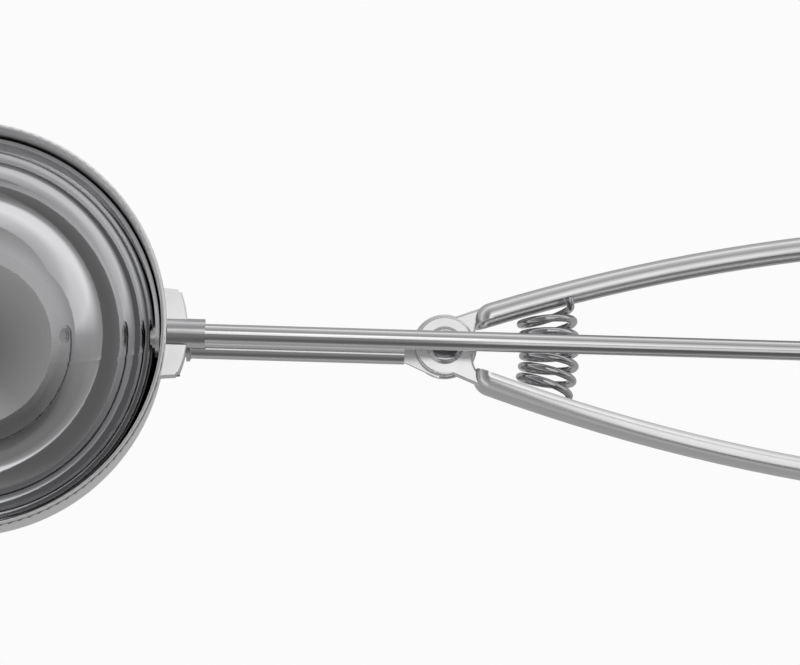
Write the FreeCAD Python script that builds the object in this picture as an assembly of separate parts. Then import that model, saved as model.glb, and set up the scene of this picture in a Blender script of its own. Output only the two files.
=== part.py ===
import FreeCAD, Part
import math
import os

# Lever ice cream scoop, in millimetres.
# The origin is the centre of the bowl's mouth, on the plane of its rim.
# +X runs along the spine rod towards the handles, and +Z is the way the mouth faces.

V = FreeCAD.Vector
X_AXIS = V(1, 0, 0)
Y_AXIS = V(0, 1, 0)
Z_AXIS = V(0, 0, 1)

# Bowl
BOWL_RADIUS = 41.8
BOWL_WALL = 0.8
RIM_BEAD = 0.4
RIM_HEIGHT = 1.3
RIM_ROUND = 0.45

# Spine rod and the collar that joins it to the bowl
ROD_RADIUS = 2.0
COLLAR_RADIUS = 2.95
COLLAR_LENGTH = 8.1
COLLAR_DROP = 0.05
ROD_END_SETBACK = 0.6
TAIL_X = 209.0
TAIL_BEND = 8.0

# Sweeper: the band that frees the ball from the bowl
BAND_GAP = 0.3
BAND_THICKNESS = 0.8
BAND_WIDTH = 8.0
AXLE_RADIUS = 1.3
AXLE_HEAD_RADIUS = 2.1
AXLE_HEAD = 0.5
HUB_RADIUS = 3.0
HUB_THICKNESS = 0.8
BUSH_RADIUS = 2.8
BUSH_LENGTH = 0.5
SWEEP_ANGLE = 176.0

# Gear pair: a spur pinion under a curved rack
MODULE = 0.6
PINION_TEETH = 8
PRESSURE_ANGLE = 25.0
PINION_ADDENDUM = 0.52
RACK_ADDENDUM = 0.42
ROOT_CLEARANCE = 0.12
FLANK_CLEARANCE = 0.05
TOOTH_SINK = 0.3
PINION_WIDTH = 2.2
PINION_GAP = 0.25
RACK_BACK = 1.0
RACK_DROP = 0.9
RACK_TEETH = 5
RACK_OVERHANG = 0.66
RACK_SIDE = 0.08
RACK_SETBACK = 0.35
RING_RADIUS = 2.0
RING_LENGTH = 0.6

# Flange that carries the rack on the lever arm
FLANGE_THICKNESS = 0.8
FLANGE_GAP = 0.55
FLANGE_OFFSET = 1.6
FLANGE_HALF_WIDTH = 2.65
WEB_HALF_WIDTH = 2.45

# Gear hood
HOOD_HALF_WIDTH = 9.3
HOOD_TAPER = 0.6
HOOD_WALL = 0.7
HOOD_RISE = 1.3
HOOD_REACH = 4.6
HOOD_ROUND = 0.4
HOOD_SHOULDER = 2.9
HOOD_LAP = 4.0
HOOD_RELIEF = 0.55
HOOD_GAP = 0.2

# Pivot
PIVOT_X = 99.1
PLATE_THICKNESS = 1.2
PLATE_GAP = 0.15
PLATE_DROP = 6.0
PLATE_OUTER_ANGLE = 72.0
PLATE_INNER_ANGLE = 4.0
DISC_ANGLE = 12.6
PLATE_SAG = 0.35
PLATE_TOUCH_ANGLE = 150.0
PLATE_EDGE_ROUND = 0.5
FRONT_DISC_RADIUS = 6.15
BACK_DISC_RADIUS = 6.7
RIVET_RADIUS = 2.2
RIVET_FIT = 0.05
RIVET_HEAD_RADIUS = 3.9
RIVET_HEAD = 0.3
RIVET_RIM_RADIUS = 3.15
RIVET_RIM = 0.9
RIVET_DISH = 0.3
RIVET_DISH_RADIUS = 2.9
RIVET_TAIL_RADIUS = 3.2
RIVET_TAIL = 0.9
WASHER_RADIUS = 4.4
WASHER_THICKNESS = 0.6

# Lever arm
ARM_RADIUS = 1.95
ARM_OFFSET = 2.0
ARM_END = 90.8
ARM_TONGUE = 3.4
ARM_TONGUE_HALF_WIDTH = 1.7
TONGUE_LEDGE = 0.4
TONGUE_ROOT = 1.0
TONGUE_SPREAD = 5.0

# Bow handles: pressed channels, open towards the rod
HANDLE_HEIGHT = 12.4
HANDLE_DEPTH = 3.8
HANDLE_WALL = 0.8
HANDLE_CORNER = 2.75
HANDLE_CROWN = 22.0
HANDLE_TOP = 3.6
BOW_RADIUS = 390.0
BOW_TAIL_RADIUS = 150.0
BOW_START_X = 107.0
BOW_START_Y = 5.07
BOW_START_SLOPE = 18.9
BOW_TAIL_X = 175.0
BOW_TAIL_SLOPE = -8.0
NOSE_X = 109.0

# Coil spring between the handles
SPRING_X = 119.5
SPRING_RADIUS = 5.45
SPRING_WIRE = 0.8
SPRING_TURNS = 6
SPRING_GAP = 0.4
SPRING_BEND = 1.7
SPRING_END_GAP = 0.3

# Sizes that follow from the ones above
BOWL_INNER = BOWL_RADIUS - BOWL_WALL
ROD_Z = -COLLAR_DROP - COLLAR_RADIUS
COLLAR_END = BOWL_RADIUS + COLLAR_LENGTH
PITCH_RADIUS = MODULE * PINION_TEETH / 2
TIP_RADIUS = PITCH_RADIUS + PINION_ADDENDUM
ROOT_RADIUS = PITCH_RADIUS - RACK_ADDENDUM - ROOT_CLEARANCE
RACK_TOP_Z = ROD_Z - COLLAR_RADIUS - RACK_DROP
RACK_ROOT_Z = RACK_TOP_Z - RACK_BACK
PITCH_Z = RACK_ROOT_Z - ROOT_CLEARANCE - PINION_ADDENDUM
RACK_TIP_Z = PITCH_Z - RACK_ADDENDUM
AXLE_Z = PITCH_Z - PITCH_RADIUS
BUSH_END = BOWL_RADIUS + BUSH_LENGTH
PINION_START = BUSH_END + PINION_GAP
PINION_END = PINION_START + PINION_WIDTH
RING_END = PINION_END + RING_LENGTH
BAND_OUTER = BOWL_INNER - BAND_GAP
BAND_INNER = BAND_OUTER - BAND_THICKNESS
HUB_FACE = BAND_INNER - HUB_THICKNESS
RACK_PITCH = math.pi * MODULE
RACK_CENTRE_RADIUS = PIVOT_X - (PINION_START + PINION_END) / 2
RACK_INNER = RACK_CENTRE_RADIUS - PINION_WIDTH / 2 + RACK_SETBACK
RACK_OUTER = RACK_CENTRE_RADIUS + PINION_WIDTH / 2 - RACK_SIDE
FLANGE_OUTER = PIVOT_X - RING_END - FLANGE_GAP
FLANGE_INNER = FLANGE_OUTER - FLANGE_THICKNESS
LEVER_ANGLE = SWEEP_ANGLE * PITCH_RADIUS / RACK_CENTRE_RADIUS
FRONT_TOP = ROD_Z - PLATE_DROP
FRONT_UNDER = FRONT_TOP - PLATE_THICKNESS
BACK_TOP = FRONT_UNDER - PLATE_GAP
BACK_UNDER = BACK_TOP - PLATE_THICKNESS
ARM_Z = BACK_TOP - PLATE_THICKNESS / 2
ARM_START = PIVOT_X - FLANGE_INNER
FLANGE_BOTTOM = ARM_Z - ARM_RADIUS
HANDLE_TOP_Z = ROD_Z - HANDLE_TOP
HANDLE_Z = HANDLE_TOP_Z - HANDLE_HEIGHT / 2
HOOD_TOP = ROD_Z + HOOD_RISE
HOOD_BOTTOM = RACK_TOP_Z + HOOD_GAP
HOOD_BACK = BOWL_RADIUS - HOOD_LAP
HOOD_CORNER = BOWL_RADIUS + HOOD_SHOULDER
HOOD_FRONT = BOWL_RADIUS + HOOD_REACH


def save(shape, name):
    shape.exportStep("parts/" + name + ".step")
    box = shape.optimalBoundingBox(False)
    print(
        name,
        "solids", len(shape.Solids),
        "volume", round(shape.Volume, 2),
        "x", round(box.XMin, 2), round(box.XMax, 2),
        "y", round(box.YMin, 2), round(box.YMax, 2),
        "z", round(box.ZMin, 2), round(box.ZMax, 2),
    )


def rod_x(radius, start, end, z):
    return Part.makeCylinder(radius, end - start, V(start, 0, z), X_AXIS)


def disc_z(radius, low, high):
    return Part.makeCylinder(radius, high - low, V(PIVOT_X, 0, low), Z_AXIS)


def block(x0, x1, y0, y1, z0, z1):
    return Part.makeBox(x1 - x0, y1 - y0, z1 - z0, V(x0, y0, z0))


def polar(radius, degrees, z):
    """A point at a radius from the pivot, at an angle measured from -X towards -Y."""
    a = math.radians(degrees)
    return V(PIVOT_X - radius * math.cos(a), -radius * math.sin(a), z)


def sector(inner, outer, start, end, low, high):
    """A flat curved bar about the pivot, between two angles."""
    middle = (start + end) / 2
    edges = [
        Part.Arc(polar(outer, start, low), polar(outer, middle, low), polar(outer, end, low)).toShape(),
        Part.makeLine(polar(outer, end, low), polar(inner, end, low)),
        Part.Arc(polar(inner, end, low), polar(inner, middle, low), polar(inner, start, low)).toShape(),
        Part.makeLine(polar(inner, start, low), polar(outer, start, low)),
    ]
    return Part.Face(Part.Wire(edges)).extrude(V(0, 0, high - low))


def pivot_angle(offset, radius):
    return math.degrees(math.asin(offset / radius))


# Bowl

def bowl_blank():
    """The bowl's outside, filled to the axis."""
    bottom = V(0, 0, AXLE_Z - BOWL_RADIUS)
    edge = V(BOWL_RADIUS, 0, 0)
    side = V(BOWL_RADIUS, 0, AXLE_Z)
    half = math.sqrt(0.5) * BOWL_RADIUS
    outline = Part.Wire([
        Part.makeLine(V(0, 0, 0), edge),
        Part.makeLine(edge, side),
        Part.Arc(side, V(half, 0, AXLE_Z - half), bottom).toShape(),
        Part.makeLine(bottom, V(0, 0, 0)),
    ])
    return Part.Face(outline).revolve(V(0, 0, 0), Z_AXIS, 360)


def bowl():
    """A straight band over a half sphere, with a small rolled bead at the rim."""
    bead = BOWL_RADIUS + RIM_BEAD
    r = RIM_ROUND
    k = r * (1 - math.sqrt(0.5))
    half_out = math.sqrt(0.5) * BOWL_RADIUS
    half_in = math.sqrt(0.5) * BOWL_INNER
    p = {
        "inner_side": V(BOWL_INNER, 0, AXLE_Z),
        "inner_top": V(BOWL_INNER, 0, -r),
        "lip_in": V(BOWL_INNER + r, 0, 0),
        "lip_out": V(bead - r, 0, 0),
        "bead_top": V(bead, 0, -r),
        "bead_low": V(bead, 0, -RIM_HEIGHT + r),
        "bead_foot": V(BOWL_RADIUS, 0, -RIM_HEIGHT),
        "outer_side": V(BOWL_RADIUS, 0, AXLE_Z),
        "outer_pole": V(0, 0, AXLE_Z - BOWL_RADIUS),
        "inner_pole": V(0, 0, AXLE_Z - BOWL_INNER),
    }
    edges = [
        Part.makeLine(p["inner_side"], p["inner_top"]),
        Part.Arc(p["inner_top"], V(BOWL_INNER + k, 0, -k), p["lip_in"]).toShape(),
        Part.makeLine(p["lip_in"], p["lip_out"]),
        Part.Arc(p["lip_out"], V(bead - k, 0, -k), p["bead_top"]).toShape(),
        Part.makeLine(p["bead_top"], p["bead_low"]),
        Part.makeLine(p["bead_low"], p["bead_foot"]),
        Part.makeLine(p["bead_foot"], p["outer_side"]),
        Part.Arc(p["outer_side"], V(half_out, 0, AXLE_Z - half_out), p["outer_pole"]).toShape(),
        Part.makeLine(p["outer_pole"], p["inner_pole"]),
        Part.Arc(p["inner_pole"], V(half_in, 0, AXLE_Z - half_in), p["inner_side"]).toShape(),
    ]
    shell = Part.Face(Part.Wire(edges)).revolve(V(0, 0, 0), Z_AXIS, 360)
    bore = AXLE_RADIUS + RIVET_FIT
    reach = BOWL_RADIUS + BUSH_RADIUS
    shell = shell.cut(rod_x(bore, 0, reach, AXLE_Z))
    return shell.cut(rod_x(bore, -reach, 0, AXLE_Z))


def bush(side):
    """A bearing ring on the bowl's outer wall, coped to the curve that it is welded on."""
    start = BOWL_RADIUS - BOWL_WALL
    bore = AXLE_RADIUS + RIVET_FIT
    ring = rod_x(BUSH_RADIUS, start, BUSH_END, AXLE_Z).cut(rod_x(bore, start, BUSH_END, AXLE_Z))
    ring = ring.cut(bowl_blank())
    return ring if side > 0 else ring.mirror(V(0, 0, 0), X_AXIS)


# Spine rod and collar

def collar():
    start = BOWL_RADIUS - BOWL_WALL
    sleeve = rod_x(COLLAR_RADIUS, start, COLLAR_END, ROD_Z)
    sleeve = sleeve.cut(rod_x(ROD_RADIUS, start, COLLAR_END, ROD_Z))
    return sleeve.cut(bowl_blank()).cut(rim_ring())


def rim_ring():
    """The room that the bead takes at the rim."""
    return Part.makeCylinder(BOWL_RADIUS + RIM_BEAD, RIM_HEIGHT, V(0, 0, -RIM_HEIGHT))


def spine_rod(lower):
    """A straight rod whose tail is bent into the lower handle and welded to its web."""
    web = bow_point(TAIL_X, HANDLE_DEPTH - HANDLE_WALL)
    target = V(TAIL_X, -web.y, HANDLE_Z)
    corner = V(TAIL_X, 0, ROD_Z)
    down = target - corner
    down.normalize()
    start = V(BOWL_RADIUS + ROD_END_SETBACK, 0, ROD_Z)
    bend_in = corner - X_AXIS * TAIL_BEND
    bend_out = corner + down * TAIL_BEND
    centre = bend_in + down * TAIL_BEND
    middle = centre + (corner - centre) * (1 / math.sqrt(2))
    path = Part.Wire([
        Part.makeLine(start, bend_in),
        Part.Arc(bend_in, middle, bend_out).toShape(),
        Part.makeLine(bend_out, target + down * (HANDLE_WALL / 2)),
    ])
    circle = Part.Wire(Part.makeCircle(ROD_RADIUS, start, X_AXIS))
    return largest(path.makePipeShell([circle], True, False).cut(lower))


# Gear hood

def hood_outline(inset, low):
    """The hood's outline seen from above: straight tapered sides and an arched front."""
    wide = HOOD_HALF_WIDTH - inset
    narrow = wide - HOOD_TAPER
    corner = HOOD_CORNER - inset
    edges = [
        Part.makeLine(V(HOOD_BACK, wide, low), V(HOOD_BACK, -wide, low)),
        Part.makeLine(V(HOOD_BACK, -wide, low), V(corner, -narrow, low)),
        Part.Arc(V(corner, -narrow, low), V(HOOD_FRONT - inset, 0, low), V(corner, narrow, low)).toShape(),
        Part.makeLine(V(corner, narrow, low), V(HOOD_BACK, wide, low)),
    ]
    return Part.Face(Part.Wire(edges))


def gear_hood():
    """A pressed cover over the pinion and rack, slotted over the collar and open below."""
    height = HOOD_TOP - HOOD_BOTTOM
    blank = hood_outline(0.0, HOOD_BOTTOM).extrude(V(0, 0, height))
    for side in (-1, 1):
        corner = V(HOOD_CORNER, side * (HOOD_HALF_WIDTH - HOOD_TAPER), HOOD_BOTTOM)
        blank = blank.cut(Part.makeCylinder(HOOD_RELIEF, height, corner))
    blank = blank.cut(bowl_blank()).cut(rim_ring())
    front = [e for e in blank.Edges if edge_in_plane(e, HOOD_TOP) and abs(e.CenterOfMass.y) < HOOD_RISE]
    front = [e for e in front if e.CenterOfMass.x > HOOD_CORNER]
    blank = blank.makeFillet(HOOD_ROUND, front)
    hood = blank.cut(hood_outline(HOOD_WALL, HOOD_BOTTOM).extrude(V(0, 0, height - HOOD_WALL)))
    return largest(hood.cut(rod_x(COLLAR_RADIUS, HOOD_BACK, HOOD_FRONT + HOOD_REACH, ROD_Z)))


def edge_in_plane(edge, z):
    box = edge.BoundBox
    return abs(box.ZMin - z) < 1e-6 and abs(box.ZMax - z) < 1e-6


def largest(shape):
    return max(shape.Solids, key=lambda s: s.Volume)


# Sweeper

def sweeper_band():
    """Half a hoop that follows the bowl's inside, with rounded ends about the axle."""
    centre = V(0, 0, AXLE_Z)
    half = BAND_WIDTH / 2
    shell = Part.makeSphere(BAND_OUTER, centre).cut(Part.makeSphere(BAND_INNER, centre))
    reach = BOWL_RADIUS
    hoop = block(-reach, reach, 0, reach, AXLE_Z - half, AXLE_Z + half)
    strip = shell.common(hoop.fuse(rod_x(half, -reach, reach, AXLE_Z)))
    return strip.cut(rod_x(AXLE_RADIUS, -reach, reach, AXLE_Z))


def hub_washer(side):
    """A washer inside the band's end, dished to sit on it."""
    bore = rod_x(AXLE_RADIUS, HUB_FACE, BAND_OUTER, AXLE_Z)
    ring = rod_x(HUB_RADIUS, HUB_FACE, BAND_OUTER, AXLE_Z).cut(bore)
    ring = ring.common(Part.makeSphere(BAND_INNER, V(0, 0, AXLE_Z)))
    return ring if side > 0 else ring.mirror(V(0, 0, 0), X_AXIS)


def sweeper_axle():
    shaft = rod_x(AXLE_RADIUS, HUB_FACE, RING_END, AXLE_Z)
    return shaft.fuse(rod_x(AXLE_HEAD_RADIUS, HUB_FACE - AXLE_HEAD, HUB_FACE, AXLE_Z)).removeSplitter()


def far_pin():
    """The pin at the bowl's far side, headed inside and outside."""
    end = BUSH_END + PINION_GAP
    pin = rod_x(AXLE_RADIUS, HUB_FACE, end, AXLE_Z)
    pin = pin.fuse(rod_x(AXLE_HEAD_RADIUS, HUB_FACE - AXLE_HEAD, HUB_FACE, AXLE_Z))
    pin = pin.fuse(rod_x(AXLE_HEAD_RADIUS, end, end + AXLE_HEAD, AXLE_Z)).removeSplitter()
    return pin.mirror(V(0, 0, 0), X_AXIS)


def involute_point(base, radius, turn):
    """A point of an involute flank, given in the plane of Y and Z."""
    a = math.acos(base / radius)
    t = turn - (math.tan(a) - a)
    return V(0, radius * math.sin(t), radius * math.cos(t))


def pinion():
    """A spur pinion with involute flanks and a tooth space facing the rack at rest."""
    alpha = math.radians(PRESSURE_ANGLE)
    base = PITCH_RADIUS * math.cos(alpha)
    half_tooth = math.pi / (2 * PINION_TEETH) - FLANK_CLEARANCE / PITCH_RADIUS
    turn = half_tooth + math.tan(alpha) - alpha
    middle = (base + TIP_RADIUS) / 2
    right = [involute_point(base, r, turn) for r in (base, middle, TIP_RADIUS)]
    left = [V(0, -p.y, p.z) for p in right]
    foot = V(0, ROOT_RADIUS * math.sin(turn), ROOT_RADIUS * math.cos(turn))
    inside = ROOT_RADIUS - TOOTH_SINK
    foot_in = V(0, inside * math.sin(turn), inside * math.cos(turn))
    tooth = Part.Wire([
        Part.makeLine(foot_in, foot),
        Part.makeLine(foot, right[0]),
        Part.Arc(right[0], right[1], right[2]).toShape(),
        Part.Arc(right[2], V(0, 0, TIP_RADIUS), left[2]).toShape(),
        Part.Arc(left[2], left[1], left[0]).toShape(),
        Part.makeLine(left[0], V(0, -foot.y, foot.z)),
        Part.makeLine(V(0, -foot.y, foot.z), V(0, -foot_in.y, foot_in.z)),
        Part.makeLine(V(0, -foot_in.y, foot_in.z), foot_in),
    ])
    solid = Part.Face(tooth).extrude(V(PINION_WIDTH, 0, 0))
    body = rod_x(ROOT_RADIUS, 0, PINION_WIDTH, 0)
    step = 360.0 / PINION_TEETH
    for k in range(PINION_TEETH):
        body = body.fuse(solid.rotated(V(0, 0, 0), X_AXIS, step * (k + 0.5)))
    body = body.removeSplitter().cut(rod_x(AXLE_RADIUS, 0, PINION_WIDTH, 0))
    body.translate(V(PINION_START, 0, AXLE_Z))
    return largest(body)


def axle_ring():
    bore = rod_x(AXLE_RADIUS, PINION_END, RING_END, AXLE_Z)
    return rod_x(RING_RADIUS, PINION_END, RING_END, AXLE_Z).cut(bore)


# Lever

def rack_tooth(degrees):
    """One tooth of the rack, pointing down, with its sides along a radius from the pivot."""
    slope = math.tan(math.radians(PRESSURE_ANGLE))
    at_pitch = RACK_PITCH / 4 - FLANK_CLEARANCE
    at_tip = at_pitch - RACK_ADDENDUM * slope
    sunk = TOOTH_SINK
    at_root = at_pitch + (RACK_ROOT_Z - PITCH_Z + sunk) * slope
    x = PIVOT_X - RACK_OUTER
    outline = Part.makePolygon([
        V(x, -at_root, RACK_ROOT_Z + sunk),
        V(x, -at_tip, RACK_TIP_Z),
        V(x, at_tip, RACK_TIP_Z),
        V(x, at_root, RACK_ROOT_Z + sunk),
        V(x, -at_root, RACK_ROOT_Z + sunk),
    ])
    tooth = Part.Face(outline).extrude(V(RACK_OUTER - RACK_INNER, 0, 0))
    tooth.rotate(V(PIVOT_X, 0, 0), Z_AXIS, degrees)
    return tooth


def rack_sector():
    """The curved rack, its web and the upright flange that the arm is welded to."""
    pitch = math.degrees(RACK_PITCH / RACK_CENTRE_RADIUS)
    over = math.degrees(RACK_OVERHANG / RACK_CENTRE_RADIUS)
    last = pitch * (RACK_TEETH - 1)
    body = sector(RACK_INNER, RACK_OUTER, -over, last + over, RACK_ROOT_Z, RACK_TOP_Z)
    mid = pivot_angle(FLANGE_OFFSET, FLANGE_INNER)
    web = pivot_angle(WEB_HALF_WIDTH, FLANGE_INNER)
    wide = pivot_angle(FLANGE_HALF_WIDTH, FLANGE_INNER)
    joined = (RACK_INNER + RACK_OUTER) / 2
    body = body.fuse(sector(FLANGE_INNER, joined, mid - web, mid + web, RACK_ROOT_Z, RACK_TOP_Z))
    body = body.fuse(sector(FLANGE_INNER, FLANGE_OUTER, mid - wide, mid + wide, FLANGE_BOTTOM, RACK_TOP_Z))
    for k in range(RACK_TEETH):
        body = body.fuse(rack_tooth(pitch * k))
    return body.removeSplitter()


def lever_arm(tongue):
    start = ARM_START - FLANGE_THICKNESS
    arm = Part.makeCylinder(ARM_RADIUS, ARM_END - start, V(start, -ARM_OFFSET, ARM_Z), X_AXIS)
    room = Part.makeCylinder(FLANGE_INNER, 4 * ARM_RADIUS, V(PIVOT_X, 0, ARM_Z - 2 * ARM_RADIUS))
    return arm.common(room).cut(tongue)


# Handles

def bow_centre():
    a = math.radians(BOW_START_SLOPE)
    return V(BOW_START_X + BOW_RADIUS * math.sin(a), BOW_START_Y - BOW_RADIUS * math.cos(a), 0)


def bow_slope(x):
    """Slope in degrees of the upper bow's inner edge."""
    centre = bow_centre()
    if x <= BOW_TAIL_X:
        return math.degrees(math.asin((centre.x - x) / BOW_RADIUS))
    second = tail_centre()
    return math.degrees(math.asin((second.x - x) / BOW_TAIL_RADIUS))


def tail_centre():
    centre = bow_centre()
    a = math.asin((centre.x - BOW_TAIL_X) / BOW_RADIUS)
    shorter = BOW_RADIUS - BOW_TAIL_RADIUS
    return V(centre.x - shorter * math.sin(a), centre.y + shorter * math.cos(a), 0)


def bow_point(x, depth):
    """The point at x on the upper bow's inner edge, moved outwards into the channel by a depth."""
    a = math.radians(bow_slope(x))
    if x <= BOW_TAIL_X:
        centre, radius = bow_centre(), BOW_RADIUS
    else:
        centre, radius = tail_centre(), BOW_TAIL_RADIUS
    return V(centre.x - (radius + depth) * math.sin(a), centre.y + (radius + depth) * math.cos(a), 0)


def crown_points(inset):
    """Points of the channel's crowned outline, from its rolled lip: u goes outwards and w goes up."""
    half = HANDLE_HEIGHT / 2
    crown_u = HANDLE_DEPTH - HANDLE_CROWN
    reach = HANDLE_CROWN - HANDLE_CORNER
    corner_w = half - HANDLE_CORNER
    corner_u = crown_u + math.sqrt(reach ** 2 - corner_w ** 2)
    crown = HANDLE_CROWN - inset
    corner = HANDLE_CORNER - inset
    to_corner = math.atan2(corner_w, corner_u - crown_u)
    to_lip = math.pi / 2 + math.asin(corner_u / HANDLE_CORNER)
    between = (to_corner + to_lip) / 2
    lip = (corner_u + corner * math.cos(to_lip), corner_w + corner * math.sin(to_lip))
    bend = (corner_u + corner * math.cos(between), corner_w + corner * math.sin(between))
    meet = (crown_u + crown * math.cos(to_corner), crown * math.sin(to_corner))
    return lip, bend, meet, (crown_u + crown, 0.0)


def channel_face():
    """The channel's section, with its lips' edges over the origin, and u along X."""

    def at(p, sign=1):
        return V(p[0], 0, sign * p[1] + HANDLE_Z)

    lip, bend, meet, crown = crown_points(0.0)
    lip_in, bend_in, meet_in, crown_in = crown_points(HANDLE_WALL)
    edges = [
        Part.Arc(at(lip), at(bend), at(meet)).toShape(),
        Part.Arc(at(meet), at(crown), at(meet, -1)).toShape(),
        Part.Arc(at(meet, -1), at(bend, -1), at(lip, -1)).toShape(),
        Part.makeLine(at(lip, -1), at(lip_in, -1)),
        Part.Arc(at(lip_in, -1), at(bend_in, -1), at(meet_in, -1)).toShape(),
        Part.Arc(at(meet_in, -1), at(crown_in), at(meet_in)).toShape(),
        Part.Arc(at(meet_in), at(bend_in), at(lip_in)).toShape(),
        Part.makeLine(at(lip_in), at(lip)),
    ]
    return Part.Face(Part.Wire(edges))


def section_at(x):
    """The channel's section set square to the bow at x."""
    face = channel_face()
    face.rotate(V(0, 0, 0), Z_AXIS, 90 + bow_slope(x))
    face.translate(bow_point(x, 0))
    return face


def bow():
    """A pressed bow: rounded nose, long bow, tighter tail and rounded end, open on its inner side."""
    tail = tail_centre()
    end_x = tail.x - BOW_TAIL_RADIUS * math.sin(math.radians(BOW_TAIL_SLOPE))
    join_slope = bow_slope(BOW_TAIL_X)
    nose = section_at(NOSE_X).revolve(bow_point(NOSE_X, 0), Z_AXIS, 90)
    long_bow = section_at(NOSE_X).revolve(bow_centre(), -Z_AXIS, bow_slope(NOSE_X) - join_slope)
    tail_bow = section_at(BOW_TAIL_X).revolve(tail, -Z_AXIS, join_slope - BOW_TAIL_SLOPE)
    end = section_at(end_x).revolve(bow_point(end_x, 0), -Z_AXIS, 90)
    return nose.fuse([long_bow, tail_bow, end]).removeSplitter()


def plate(disc_radius, low):
    """The flat tab from a handle's nose to its disc at the pivot, for the upper side, with rounded edges."""
    root = bow_point(NOSE_X, 0)
    a = math.radians(bow_slope(NOSE_X))
    reach = HANDLE_DEPTH - HANDLE_WALL / 2
    centre = V(PIVOT_X, 0, 0)

    def on_nose(degrees):
        b = math.radians(degrees)
        back = V(-math.cos(a), -math.sin(a), 0)
        out = V(-math.sin(a), math.cos(a), 0)
        return root + back * (reach * math.cos(b)) + out * (reach * math.sin(b))

    def on_disc(degrees):
        b = math.radians(degrees)
        return centre + V(math.cos(b), math.sin(b), 0) * disc_radius

    outer, inner = on_nose(PLATE_OUTER_ANGLE), on_nose(PLATE_INNER_ANGLE)
    touch, near = on_disc(PLATE_TOUCH_ANGLE), on_disc(DISC_ANGLE)
    sag = (near + inner) * 0.5 + V(-PLATE_SAG, PLATE_SAG, 0)
    edges = [
        Part.makeLine(centre, touch),
        Part.makeLine(touch, outer),
        Part.makeLine(outer, inner),
        Part.Arc(inner, sag, near).toShape(),
        Part.makeLine(near, centre),
    ]
    tab = Part.Face(Part.Wire(edges)).extrude(V(0, 0, PLATE_THICKNESS))
    tab.translate(V(0, 0, low))
    tab = tab.fuse(disc_z(disc_radius, low, low + PLATE_THICKNESS)).removeSplitter()
    root_edge = (outer + inner) * 0.5 + V(0, 0, low + PLATE_THICKNESS)
    rim = [e for e in tab.Edges if edge_in_plane(e, low + PLATE_THICKNESS)]
    rim = [e for e in rim if e.CenterOfMass.distanceToPoint(root_edge) > PLATE_EDGE_ROUND]
    return tab.makeFillet(PLATE_EDGE_ROUND, rim)


def arm_tongue():
    """The forward tongue of the lever's plate, which the arm's slotted end is welded over."""
    y = -ARM_OFFSET
    half = ARM_TONGUE_HALF_WIDTH
    start = ARM_END - ARM_TONGUE
    edges = Part.makePolygon([
        V(start, y + half, BACK_UNDER),
        V(start, y - half, BACK_UNDER),
        V(ARM_END + TONGUE_LEDGE, y - half, BACK_UNDER),
        V(PIVOT_X - TONGUE_ROOT, -BACK_DISC_RADIUS, BACK_UNDER),
        V(PIVOT_X - TONGUE_ROOT, TONGUE_SPREAD, BACK_UNDER),
        V(ARM_END + TONGUE_LEDGE, y + half, BACK_UNDER),
        V(start, y + half, BACK_UNDER),
    ])
    return Part.Face(edges).extrude(V(0, 0, PLATE_THICKNESS))


def lower_handle():
    shape = bow().fuse(plate(FRONT_DISC_RADIUS, FRONT_UNDER))
    shape = shape.mirror(V(0, 0, 0), Y_AXIS)
    return shape.cut(disc_z(RIVET_RADIUS, FRONT_UNDER, FRONT_TOP)).removeSplitter()


def upper_handle():
    shape = bow().fuse(plate(BACK_DISC_RADIUS, BACK_UNDER))
    shape = shape.fuse(arm_tongue())
    return shape.cut(disc_z(RIVET_RADIUS + RIVET_FIT, BACK_UNDER, BACK_TOP)).removeSplitter()


# Pivot

def pivot_rivet():
    """A rivet with a coned head that is dished on its face."""
    tail_top = BACK_UNDER - PLATE_GAP - WASHER_THICKNESS
    head_top = FRONT_TOP + RIVET_HEAD
    top = head_top + RIVET_RIM
    shape = disc_z(RIVET_RADIUS, tail_top - RIVET_TAIL, FRONT_TOP)
    shape = shape.fuse(disc_z(RIVET_HEAD_RADIUS, FRONT_TOP, head_top))
    cone = Part.makeCone(RIVET_HEAD_RADIUS, RIVET_RIM_RADIUS, RIVET_RIM, V(PIVOT_X, 0, head_top))
    shape = shape.fuse(cone)
    shape = shape.fuse(disc_z(RIVET_TAIL_RADIUS, tail_top - RIVET_TAIL, tail_top)).removeSplitter()
    dish = (RIVET_DISH_RADIUS ** 2 + RIVET_DISH ** 2) / (2 * RIVET_DISH)
    return shape.cut(Part.makeSphere(dish, V(PIVOT_X, 0, top + dish - RIVET_DISH)))


def pivot_washer():
    top = BACK_UNDER - PLATE_GAP
    ring = disc_z(WASHER_RADIUS, top - WASHER_THICKNESS, top)
    return ring.cut(disc_z(RIVET_RADIUS, top - WASHER_THICKNESS, top))


# Spring

def biarc(p0, t0, p1, t1):
    """Two arcs that join two points with given directions."""
    v = p1 - p0
    t = t0 + t1
    k = 2 * (1 - t0.dot(t1))
    d = (-v.dot(t) + math.sqrt(v.dot(t) ** 2 + k * v.dot(v))) / k
    meet = (p0 + p1 + (t0 - t1) * d) * 0.5
    corner_0 = p0 + t0 * d
    corner_1 = p1 - t1 * d
    return [arc_to(p0, corner_0, meet), arc_to(meet, corner_1, p1)]


def arc_to(start, corner, end):
    """The arc between two points that is tangent to both lines through their corner."""
    half_chord = (end - start) * 0.5
    middle = start + half_chord
    rise = corner - middle
    leg = (corner - start).Length
    share = half_chord.Length / (half_chord.Length + leg)
    return Part.Arc(start, middle + rise * share, end)


def spring_frame():
    """Centre and radius of the arc that the spring's axis follows, square to both handles."""
    slope = math.radians(bow_slope(SPRING_X))
    seat = bow_point(SPRING_X, 0)
    radius = seat.y / math.sin(slope)
    return V(seat.x - radius * math.cos(slope), 0, HANDLE_Z), radius, slope


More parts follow.
